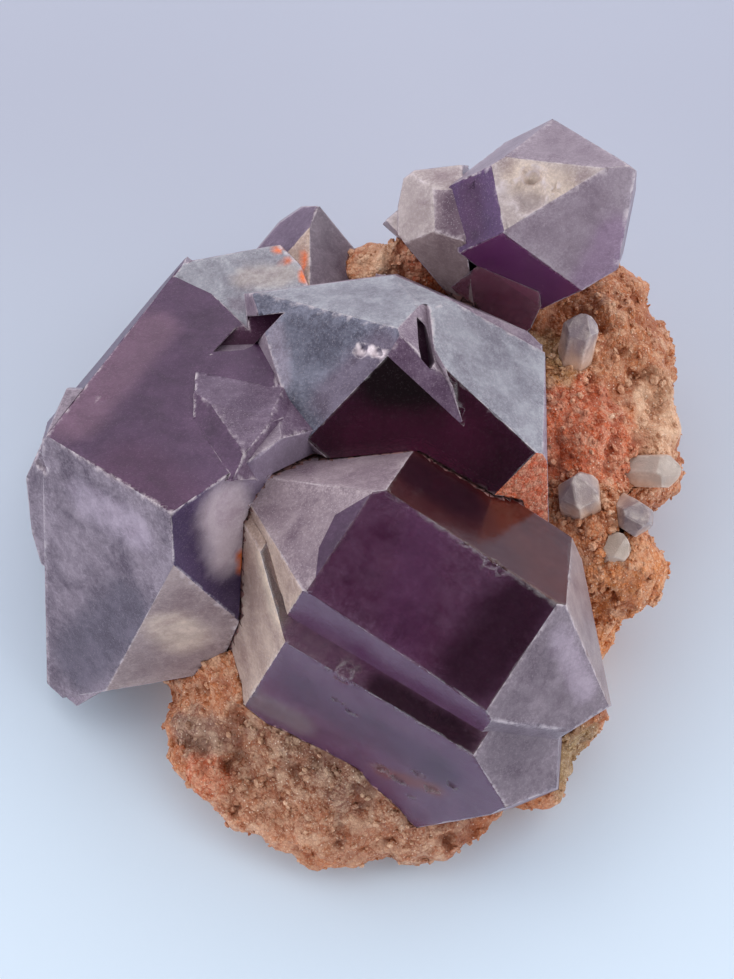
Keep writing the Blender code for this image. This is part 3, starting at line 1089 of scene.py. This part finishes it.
FRONT_FACETS = [
    Facet("table", (430, 560), DEEP_WINDOW),
    Facet("front_wall", (360, 730), LILAC_WINDOW),
    Facet("right_slope", (500, 520), RED_WINDOW),
    Facet("right_face", (550, 660), ASH),
    Facet("trough", (400, 695), BRIGHT_WINDOW),
    Facet("left_slope", (300, 520), FROST),
    Facet("step", (310, 612), LILAC_WINDOW),
    Facet("left_wall", (255, 620), CREAM),
    Facet("low_right", (525, 770), ASH),
    Facet("back_slope", (370, 465), FROST),
    Facet("far_right", (595, 640), SAND),
    Facet("left_sliver", (282, 574), CREAM),
    Facet("low_front", (525, 730), ASH),
    Facet("corner", (254, 532), CREAM),
]
FRONT_PATCHES = [
    Patch("dark_side", (545, 580), (475, 670), 6.5, WINE_TONE, 0.85, ("table",)),
    Patch("bright_veil", (425, 525), (400, 640), 4.0, ORCHID_TONE, 0.5, ("table",)),
    Patch("red_glow", (515, 510), (555, 580), 7, EMBER_TONE, 0.9, ("right_slope",)),
    Patch("violet_side", (420, 475), (460, 500), 6, WINE_TONE, 0.8, ("right_slope",)),
    Patch("trough_dark", (380, 690), (465, 738), 3, WINE_TONE, 0.9, ("trough",)),
    Patch("lit_band", (255, 700), (298, 722), 3.5, PEARL_TONE, 0.6, ("front_wall",)),
    Patch("dark_middle", (300, 690), (440, 770), 5, GRAPE_TONE, 0.7, ("front_wall",)),
    Patch("brown_pits", (380, 770), (435, 790), 1.8, RUST_TONE, 0.5, ("front_wall",)),
    Patch("right_streak", (560, 640), (585, 690), 2.5, LILAC_TONE, 0.5, ("right_face",)),
    Patch("yellow_chunk", (268, 560), (275, 610), 3, STRAW_TONE, 0.7,
          ("trough", "left_wall")),
]
FRONT_INLAYS = [
    Inlay("table_bulge", "left_slope", ((316, 574), (319, 548), (335, 515), (362, 499)), PLUM),
]
FRONT_CHIPS = [
    Chip((380, 768), 0.7, 0.4, 2.0), Chip((398, 780), 0.8, 0.5, 1.8),
    Chip((418, 774), 0.6, 0.4, 2.2), Chip((432, 790), 0.8, 0.5, 1.6),
    Chip((410, 796), 0.5, 0.35, 2.0), Chip((452, 786), 0.6, 0.4, 1.4),
    Chip((350, 712), 0.5, 0.3, 1.6), Chip((335, 700), 0.4, 0.3, 1.8),
    Chip((345, 672), 1.2, -0.4, 1.0), Chip((492, 563), 0.7, 0.4, 1.4),
    Chip((500, 571), 0.5, 0.3, 1.0), Chip((466, 544), 0.4, 0.25, 1.2),
]

LEFT_FACETS = [
    Facet("big_top", (130, 380), PLUM),
    Facet("outer_wall", (90, 560), DRIFT),
    Facet("middle_right", (500, 360), MIST),
    Facet("middle_left", (320, 370), SMOKE),
    Facet("dark_face", (390, 420), NIGHT_WINDOW),
    Facet("toe", (160, 640), SAND),
    Facet("inner_wall", (205, 530), INDIGO),
    Facet("shelf", (215, 275), MIST),
    Facet("middle_back", (340, 302), MIST),
    Facet("behind_right", (328, 245), ASH),
    Facet("behind_left", (285, 228), DUSK),
    Facet("behind_cream", (303, 258), CREAM),
    Facet("pocket", (240, 335), SHADOW),
    Facet("ledge", (225, 392), DUSK),
    Facet("ledge_side", (240, 418), DUSK),
    Facet("ridge", (402, 338), DUSK),
    Facet("notch", (424, 332), SHADOW),
    Facet("rock_foot", (532, 487), STONY),
    Facet("inner_slope", (218, 434), PLUM),
    Facet("shoulder", (38, 507), DRIFT),
    Facet("shoulder_top", (65, 402), DRIFT),
    Facet("outer_sliver", (115, 344), PLUM),
    Facet("peak_top", (422, 295), MIST),
    Facet("inner_low", (292, 423), DUSK),
    Facet("inner_foot", (250, 455), DUSK),
    Facet("inner_edge", (281, 407), DUSK),
]
LEFT_PATCHES = [
    Patch("rosy_band", (75, 420), (150, 330), 5, ROSE_TONE, 0.6, ("big_top",)),
    Patch("dark_foot", (130, 470), (165, 500), 7, WINE_TONE, 0.35, ("big_top",)),
    Patch("blue_shade", (130, 610), (75, 665), 6, SLATE_TONE, 0.8, ("outer_wall",)),
    Patch("white_band", (85, 500), (135, 530), 4, LILAC_TONE, 0.5, ("outer_wall",)),
    Patch("sandy_heart", (170, 625), (185, 640), 4.5, STRAW_TONE, 0.5, ("toe",)),
    Patch("milky_spot", (225, 508), (234, 545), 5.5, PEARL_TONE, 0.6, ("inner_wall",)),
    Patch("pale_wedge", (268, 462), (300, 442), 5, LILAC_TONE, 0.5, ("inner_wall",)),
    Patch("rust_crumb", (240, 558), (242, 566), 1.1, RUST_TONE),
    Patch("lavender_band", (275, 335), (280, 380), 2.2, LILAC_TONE, 0.35, ("middle_left",)),
    Patch("dark_low", (330, 400), (380, 350), 4.0, PLUM_TONE, 0.5, ("middle_left",)),
    Patch("white_chip", (358, 350), (382, 353), 0.7, PEARL_TONE, 0.9, ("middle_left",)),
    Patch("black_top", (390, 375), (415, 400), 7, NIGHT_TONE, 0.9, ("dark_face",)),
    Patch("plum_mid", (370, 440), (460, 440), 5.5, MULBERRY_TONE, 0.8, ("dark_face",)),
    Patch("warm_shelf", (245, 278), (285, 275), 2.5, STRAW_TONE, 0.3, ("shelf",)),
    Patch("violet_shelf", (238, 303), (262, 306), 1.8, PLUM_TONE, 0.5, ("shelf",)),
    Patch("stain_run", (278, 250), (302, 256), 0.9, RUST_TONE, 0.9),
    Patch("stain_fall", (302, 256), (305, 280), 1.0, RUST_TONE, 0.95),
    Patch("stain_branch", (286, 260), (303, 268), 0.7, RUST_TONE, 0.85),
]
LEFT_CHIPS = [
    Chip((362, 350), 0.9, 0.4, 1.6), Chip((378, 352), 0.7, 0.35, 1.2),
    Chip((40, 462), 1.4, 0.45, 1.0), Chip((100, 400), 0.4, 0.1, 1.0),
]

UPPER_FACETS = [
    Facet("right_face", (585, 230), PEARLY),
    Facet("top", (535, 190), CHALK),
    Facet("foot", (505, 300), MAROON_WINDOW),
    Facet("front", (515, 270), VIOLET_WINDOW),
    Facet("left_face", (480, 205), VIOLET),
    Facet("back_top", (590, 145), PEARLY),
    Facet("milky_low", (440, 255), SAND),
    Facet("milky_left", (415, 200), CHALK),
    Facet("milky_face", (442, 212), FROST),
    Facet("milky_top", (440, 173), CHALK),
    Facet("back_left", (505, 150), PEARLY),
    Facet("tip", (391, 221), CHALK),
]
UPPER_PATCHES = [
    Patch("plum_left", (452, 200), (456, 225), 2.5, PLUM_TONE, 0.7, ("milky_face",)),
    Patch("cream_chip", (520, 175), (560, 185), 3, STRAW_TONE, 0.5, ("top",)),
    Patch("violet_foot", (615, 235), (590, 285), 4, GRAPE_TONE, 0.3, ("right_face",)),
    Patch("deep_corner", (470, 190), (472, 230), 3, WINE_TONE, 0.4, ("left_face",)),
]
UPPER_CHIPS = [
    Chip((524, 192), 2.6, 0.9, 1.0), Chip((532, 175), 1.2, 0.7, 1.4),
    Chip((555, 190), 0.5, 0.3, 1.0),
]


# Rock

BRICK = (222, 92, 30)
RUST = (215, 100, 50)
SHELL = (245, 200, 165)
TAN = (200, 115, 55)
GOLD = (235, 145, 70)
OCHRE = (195, 160, 105)
SAGE = (160, 138, 90)
UMBER = (142, 74, 34)
# Painted shadow tone for the rock just under the front crystal.
UNDERHANG_SHADOW = (92, 54, 40)
PINK = (205, 132, 95)
GREY_QUARTZ = (140, 105, 96)

ROCK_ZONES = [
    Patch("red_druse", (560, 420), (540, 480), 9, BRICK),
    Patch("red_right", (600, 420), (620, 450), 6, RUST),
    Patch("cream_rim", (665, 395), (665, 440), 5, SHELL),
    Patch("upper_tan", (600, 290), (650, 330), 8, TAN),
    Patch("golden_lump", (630, 585), (610, 640), 7, GOLD),
    Patch("yellow_rim", (552, 350), (556, 375), 3, OCHRE),
    Patch("low_green", (578, 745), (570, 765), 5, SAGE),
    Patch("bottom_brown", (260, 760), (420, 830), 9, UMBER),
    # Painted shadow where the front crystal overhangs the lower rock.
    Patch("shadow_under_crystal", (255, 715), (360, 780), 3.5, UNDERHANG_SHADOW),
    Patch("bottom_pink", (240, 810), (450, 850), 4.5, PINK),
    Patch("grey_left", (185, 730), (210, 740), 3.5, GREY_QUARTZ),
    Patch("grey_low", (335, 800), (345, 806), 2.5, GREY_QUARTZ),
    Patch("red_left", (200, 765), (215, 780), 3, RUST),
    Patch("nodule", (380, 252), (384, 258), 4.5, SHELL),
    Patch("speckled_back", (412, 268), (430, 278), 4, BRICK),
]


ROCK_PITS = [
    Chip((664, 385), 1.7, 1.6, 1.6), Chip((648, 372), 0.9, 0.8, 1.2), Chip((652, 402), 1.1, 1.0),
    Chip((622, 352), 0.8, 0.7, 1.4), Chip((188, 742), 0.9, 0.8, 1.4), Chip((205, 766), 1.1, 0.8),
]


@dataclass
class Rock:
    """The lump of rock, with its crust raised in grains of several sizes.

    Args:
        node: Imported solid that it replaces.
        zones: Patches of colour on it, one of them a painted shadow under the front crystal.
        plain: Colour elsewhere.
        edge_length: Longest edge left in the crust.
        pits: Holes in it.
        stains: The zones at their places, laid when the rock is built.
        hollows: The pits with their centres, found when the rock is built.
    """

    node: str = "matrix"
    zones: list[Patch] = field(default_factory=lambda: ROCK_ZONES)
    plain: Triple = (205, 118, 60)
    edge_length: float = 0.62
    pits: list[Chip] = field(default_factory=lambda: ROCK_PITS)
    stains: list[Stain] = field(default_factory=list)
    hollows: list[tuple[Chip, Vector]] = field(default_factory=list)

    def build(self, spotter: Spotter, material: Material) -> Piece:
        """Make the finished rock.

        Args:
            spotter: Finds what the pixels show.
            material: Its material.

        Returns:
            The piece.
        """
        self.stains = [zone.lay(spotter) for zone in self.zones]
        self.hollows = [(pit, spotter.find(pit.at)) for pit in self.pits]
        bm = merged_copy(self.node)
        crystals = solids_around(self.node)
        self.refine(bm, crystals)
        self.raise_crust(bm, crystals)
        return make_piece(bm, "rock", [material], self.node)

    def refine(self, bm: Mesh, crystals: BVHTree) -> None:
        """Divide the open surface until no edge is longer than the limit."""
        for _ in range(5):
            long_edges = [e for e in bm.edges
                          if e.calc_length() > self.edge_length * MM * 1.4
                          and self.is_open(e, crystals)]
            if not long_edges:
                break
            bmesh.ops.subdivide_edges(bm, edges=long_edges, cuts=1, use_grid_fill=True)
            bmesh.ops.triangulate(bm, faces=[f for f in bm.faces if len(f.verts) > 3])
        self.drop_doubles(bm)

    @staticmethod
    def drop_doubles(bm: Mesh) -> None:
        """Take out faces that dividing has laid over others, in the same order each run."""
        seen, doubled = set(), []
        for face in bm.faces:
            corner_set = frozenset(face.verts)
            if corner_set in seen:
                doubled.append(face)
            seen.add(corner_set)
        bmesh.ops.delete(bm, geom=doubled, context="FACES_ONLY")

    @staticmethod
    def is_open(edge: bmesh.types.BMEdge, crystals: BVHTree) -> bool:
        """Whether an edge lies away from the crystals' seats and the flat base."""
        middle = (edge.verts[0].co + edge.verts[1].co) / 2
        if middle.z < 0.02 * MM:
            return False
        return crystals.find_nearest(middle, 0.45 * MM)[0] is None

    def raise_crust(self, bm: Mesh, crystals: BVHTree) -> None:
        """Soften the flat-cut lump, then push out lumps and grains, paint the tones and paint shade
        into the hollows.
        """
        tone = bm.verts.layers.float_color.new("tone")
        hollow_shade = bm.verts.layers.float.new("hollow_shade")
        freedom = {}
        for vertex in bm.verts:
            near = crystals.find_nearest(vertex.co, 3 * MM)
            room = 3.0 if near[0] is None else near[3] / MM
            low = smooth_step(vertex.co.z / MM, 0.05, 1.2)
            freedom[vertex] = smooth_step(room, 0.4, 1.6) * low
        for _ in range(3):
            loose = [v for v in bm.verts if freedom[v] > 0.5]
            bmesh.ops.smooth_vert(bm, verts=loose, factor=0.5, use_axis_x=True,
                                  use_axis_y=True, use_axis_z=True)
        bm.normal_update()
        moves = {}
        for vertex in bm.verts:
            spot = vertex.co / MM
            height = self.crust_height(spot)
            height -= sum(pit.dent(spot - centre) for pit, centre in self.hollows)
            # Painted shade: the deeper a place lies below the crust, the darker the rock's material
            # paints it.
            vertex[hollow_shade] = smooth_step(-height, 0.15, 0.75)
            vertex[tone] = self.tone_at(spot)
            moves[vertex] = vertex.normal * (height * freedom[vertex] * MM)
            seat = crystals.find_nearest(vertex.co, 0.7 * MM)
            if seat[0] is not None and seat[3] > 0.02 * MM:
                moves[vertex] = (seat[0] - vertex.co) * 0.92
        for vertex, move in moves.items():
            vertex.co += move
            vertex.co.z = max(0.0, vertex.co.z)
        for face in bm.faces:
            face.smooth = True
        bm.normal_update()

    @staticmethod
    def crust_height(spot: Vector) -> float:
        """Height of the crust over the plain lump at a place, in millimetres."""
        lumps = noise.noise(spot * 0.2)
        clods = noise.voronoi(spot * 0.26 + noise.noise_vector(spot * 0.3) * 0.5)[0][0]
        knobs = noise.voronoi(spot * 0.6 + noise.noise_vector(spot * 0.7) * 0.3)[0][0]
        grains = noise.voronoi(spot * 1.3)[0][0]
        holes = smooth_step(noise.noise(spot * 0.45 + Vector((3, 9, 4))), 0.25, 0.55)
        height = 0.8 * lumps + 0.9 * (0.45 - clods) + 0.55 * (0.45 - knobs) + 0.26 * (0.42 - grains)
        return height - 0.9 * holes

    def tone_at(self, spot: Vector) -> Colour:
        """Colour painted at a place, blended from the zones that reach it."""
        colour, total = Vector(linear(self.plain)) * 0.35, 0.35
        ragged = spot + noise.noise_vector(spot * 0.5) * 1.6
        for stain in self.stains:
            share = stain.cover(ragged) * 1.6
            colour += Vector(linear(stain.patch.tone)) * share
            total += share
        return tuple(colour / total)


@dataclass
class Druse:
    """Loose-looking grains of quartz set in the crust.

    Args:
        count: Number of grains.
        smallest: Least half size of a grain.
        largest: Most half size of a grain.
        crowding: How many times more grains stand at the feet of the stubs.
    """

    count: int = 2400
    smallest: float = 0.18
    largest: float = 0.58
    crowding: float = 7.0

    def build(self, rock: Piece, tones: Rock,
              material: Material) -> Piece:
        """Scatter the grains on the rock.

        Args:
            rock: The finished rock.
            tones: Gives the colour of each place.
            material: Material of the grains.

        Returns:
            The piece.
        """
        chance = random.Random(GRAIN_SEED)
        crystals = solids_around("matrix")
        stubs = solids_around(*(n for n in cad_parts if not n.startswith("quartz")))
        faces = [p for p in rock.data.polygons if p.normal.z > -0.35 and p.center.z > 2 * MM]
        weights = [p.area * (1 if stubs.find_nearest(p.center, 1.3 * MM)[0] is None else
                             self.crowding) for p in faces]
        bm = bmesh.new()
        tone = bm.verts.layers.float_color.new("tone")
        # The grains get no painted shade of hollows.
        bm.verts.layers.float.new("hollow_shade")
        made = 0
        for face in chance.choices(faces, weights, k=self.count * 2):
            near = crystals.find_nearest(face.center, 0.12 * MM)
            if near[0] is not None or made >= self.count:
                continue
            made += 1
            size = self.smallest + (self.largest - self.smallest) * chance.random() ** 2.2
            self.add_grain(bm, chance, face, size, tone, tones)
        return make_piece(bm, "druse", [material], None)

    @staticmethod
    def add_grain(bm: Mesh, chance: random.Random, face: bpy.types.MeshPolygon,
                  size: float, tone: bmesh.types.BMLayerItem, tones: Rock) -> None:
        """Set one angular grain half into the crust."""
        turn = Euler([chance.uniform(0, 6.28) for _ in range(3)]).to_matrix().to_4x4()
        stretch = Matrix.Diagonal((*(chance.uniform(0.5, 1.6) for _ in range(3)), 1))
        centre = face.center + face.normal * size * 0.15 * MM
        place = Matrix.Translation(centre) @ turn @ stretch
        made = bmesh.ops.create_icosphere(bm, subdivisions=1, radius=size * MM, matrix=place)
        # Each grain takes the rock's painted tone at its place, painted shadow included.
        colour = blend(tones.tone_at(face.center / MM), linear((255, 210, 175)),
                       chance.random() ** 3 * 0.7)
        for vertex in made["verts"]:
            vertex[tone] = colour


@dataclass
class QuartzStub:
    """One short cloudy quartz crystal standing in the rock.

    Args:
        node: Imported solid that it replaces.
        tone: Its colour at the point.
        foot: Its colour where it stands in the rock.
    """

    node: str
    tone: Triple
    foot: Triple = (216, 178, 152)

    def build(self, material: Material) -> Piece:
        """Make the finished stub with worn, bevelled edges."""
        bm = merged_copy(self.node)
        bmesh.ops.dissolve_limit(bm, angle_limit=FLAT, verts=bm.verts, edges=bm.edges)
        bmesh.ops.bevel(bm, geom=bm.edges[:], offset=0.16 * MM, offset_type="OFFSET", segments=2,
                        profile=0.5, affect="EDGES", material=-1, clamp_overlap=True)
        long_edges = [e for e in bm.edges if e.calc_length() > 0.8 * MM]
        bmesh.ops.subdivide_edges(bm, edges=long_edges, cuts=3, use_grid_fill=True)
        bm.normal_update()
        low = min(v.co.z for v in bm.verts)
        high = max(v.co.z for v in bm.verts)
        tone = bm.verts.layers.float_color.new("tone")
        edge = bm.verts.layers.float.new("edge")
        for vertex in bm.verts:
            spot = vertex.co / MM
            vertex.co += vertex.normal * (0.09 * noise.noise(spot * 0.8) * MM)
            rise = (vertex.co.z - low) / (high - low) + 0.15 * noise.noise(spot * 0.6)
            vertex[tone] = blend(linear(self.foot), linear(self.tone), smooth_step(rise, 0.5, 0.8))
            # Crests get the lighter edge tone, part wear and part painted highlight.
            crest = any(e.calc_face_angle(0) > 0.25 for e in vertex.link_edges)
            vertex[edge] = 1.0 if crest else 0.0
        return make_piece(bm, "stub_" + self.node.split("_")[1], [material], self.node)


# Floor, light and camera


@dataclass(frozen=True)
class Studio:
    """Pale floor with painted light, lighter in front and darker behind, and soft light from all
    round, weaker from above and behind.

    Args:
        floor_half: Half the side of the floor.
        lit_near_tone: Floor colour at the front, painted lighter as painted light.
        shaded_far_tone: Floor colour behind, painted darker as painted shade.
        side_light: Strength of the sky near the horizon in front.
        top_light: Strength of the sky above.
        back_light: Strength of the sky near the horizon behind.
        shaded_light: Strength of the patch of sky that the flat tops would mirror.
    """

    floor_half: float = 900.0
    lit_near_tone: Triple = (222, 238, 254)
    shaded_far_tone: Triple = (186, 190, 208)
    side_light: float = 1.88
    top_light: float = 1.3
    back_light: float = 1.56
    shaded_light: float = 0.1

    def build(self, effects: Effects) -> None:
        """Make the floor and the light."""
        self.make_floor(effects)
        self.make_light()
        bpy.context.scene.view_settings.view_transform = "Standard"

    def make_floor(self, effects: Effects) -> None:
        """Lay a pale sheet with painted light: its colour cools and brightens towards the front and
        darkens behind, where less light falls.
        """
        bm = bmesh.new()
        bmesh.ops.create_grid(bm, x_segments=12, y_segments=12, size=self.floor_half * MM)
        bmesh.ops.translate(bm, vec=(0, 0, -0.02 * MM), verts=bm.verts)
        desk = Surface("pale_floor", effects)
        depth = desk.add("SeparateXYZ", {0: desk.spot}).outputs["Y"]
        # Painted light: lighter floor in front, painted shade behind.
        base = desk.mix(linear(self.shaded_far_tone), linear(self.lit_near_tone), desk.ramp(depth, 75.0, -50.0))
        base = desk.cover(base, (0.96, 0.96, 0.97, 1.0), desk.noise(desk.spot, 0.02, 3.0), 0.06)
        sheet = desk.finish({"Base Color": base, "Roughness": 0.85})
        make_mesh(bm, "floor", [sheet])

    def make_light(self) -> None:
        """Light the scene from a soft sky that is brightest near the horizon in front."""
        world = bpy.data.worlds.new("soft_light")
        bpy.context.scene.world = world
        world.use_nodes = True
        desk = Desk(world.node_tree)
        way = desk.add("TexCoord").outputs["Generated"]
        parts = desk.add("SeparateXYZ", {0: way}).outputs
        side = self.light(self.side_light, 0.97, 1.05)
        back = self.light(self.back_light, 0.98, 1.05)
        sky = desk.mix(side, back, desk.ramp(parts["Y"], -0.2, 0.9))
        top = self.light(self.top_light, 1.0, 1.02)
        sky = desk.mix(sky, top, desk.ramp(parts["Z"], 0.3, 0.9))
        toward = desk.add("VectorMath", {0: way, 1: (0.0, -0.55, 0.835)},
                          operation="DOT_PRODUCT").outputs["Value"]
        sky = desk.mix(sky, self.light(self.shaded_light), desk.ramp(toward, 0.68, 0.9))
        desk.feed(world.node_tree.nodes["Background"], {"Color": sky, "Strength": 1.0})

    @staticmethod
    def light(strength: float, red: float = 1.0, blue: float = 1.0) -> Colour:
        """Grey light of a strength, with its red and blue scaled."""
        return (strength * red, strength, strength * blue, 1.0)


STUB_TONES = [(142, 126, 132), (150, 132, 132), (135, 120, 125), (185, 168, 158), (185, 165, 150)]


def main() -> None:
    """Build the stone piece by piece and report each."""
    logging.basicConfig(level=logging.INFO, format="%(name)s: %(message)s")
    noise.seed_set(NOISE_SEED)
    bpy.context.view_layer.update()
    view = Viewpoint()
    view.build()
    spotter = Spotter(view)
    effects = Effects()
    Studio().build(effects)
    clear = CrystalFinish("clear_amethyst", see_through=0.8, density=70.0, shine=0.38)
    milky = CrystalFinish("milky_amethyst", see_through=0.0, density=0.0, shine=0.28,
                          least_rough=0.12, most_rough=0.6)
    stone = RockFinish().build(effects)
    skins = [clear.build(effects), milky.build(effects), SeatFinish().build(effects), stone]
    Crystal("amethyst_front", FRONT_FACETS, FRONT_PATCHES, FRONT_CHIPS,
            FRONT_INLAYS).build(spotter, skins)
    Crystal("amethyst_left", LEFT_FACETS, LEFT_PATCHES, LEFT_CHIPS).build(spotter, skins)
    Crystal("amethyst_upper", UPPER_FACETS, UPPER_PATCHES, UPPER_CHIPS).build(spotter, skins)
    rock = Rock()
    Druse().build(rock.build(spotter, stone), rock, stone)
    cloudy = StubFinish().build(effects)
    for number, tone in enumerate(STUB_TONES, start=1):
        QuartzStub("quartz_%d" % number, tone).build(cloudy)


if __name__ == "__main__":
    main()
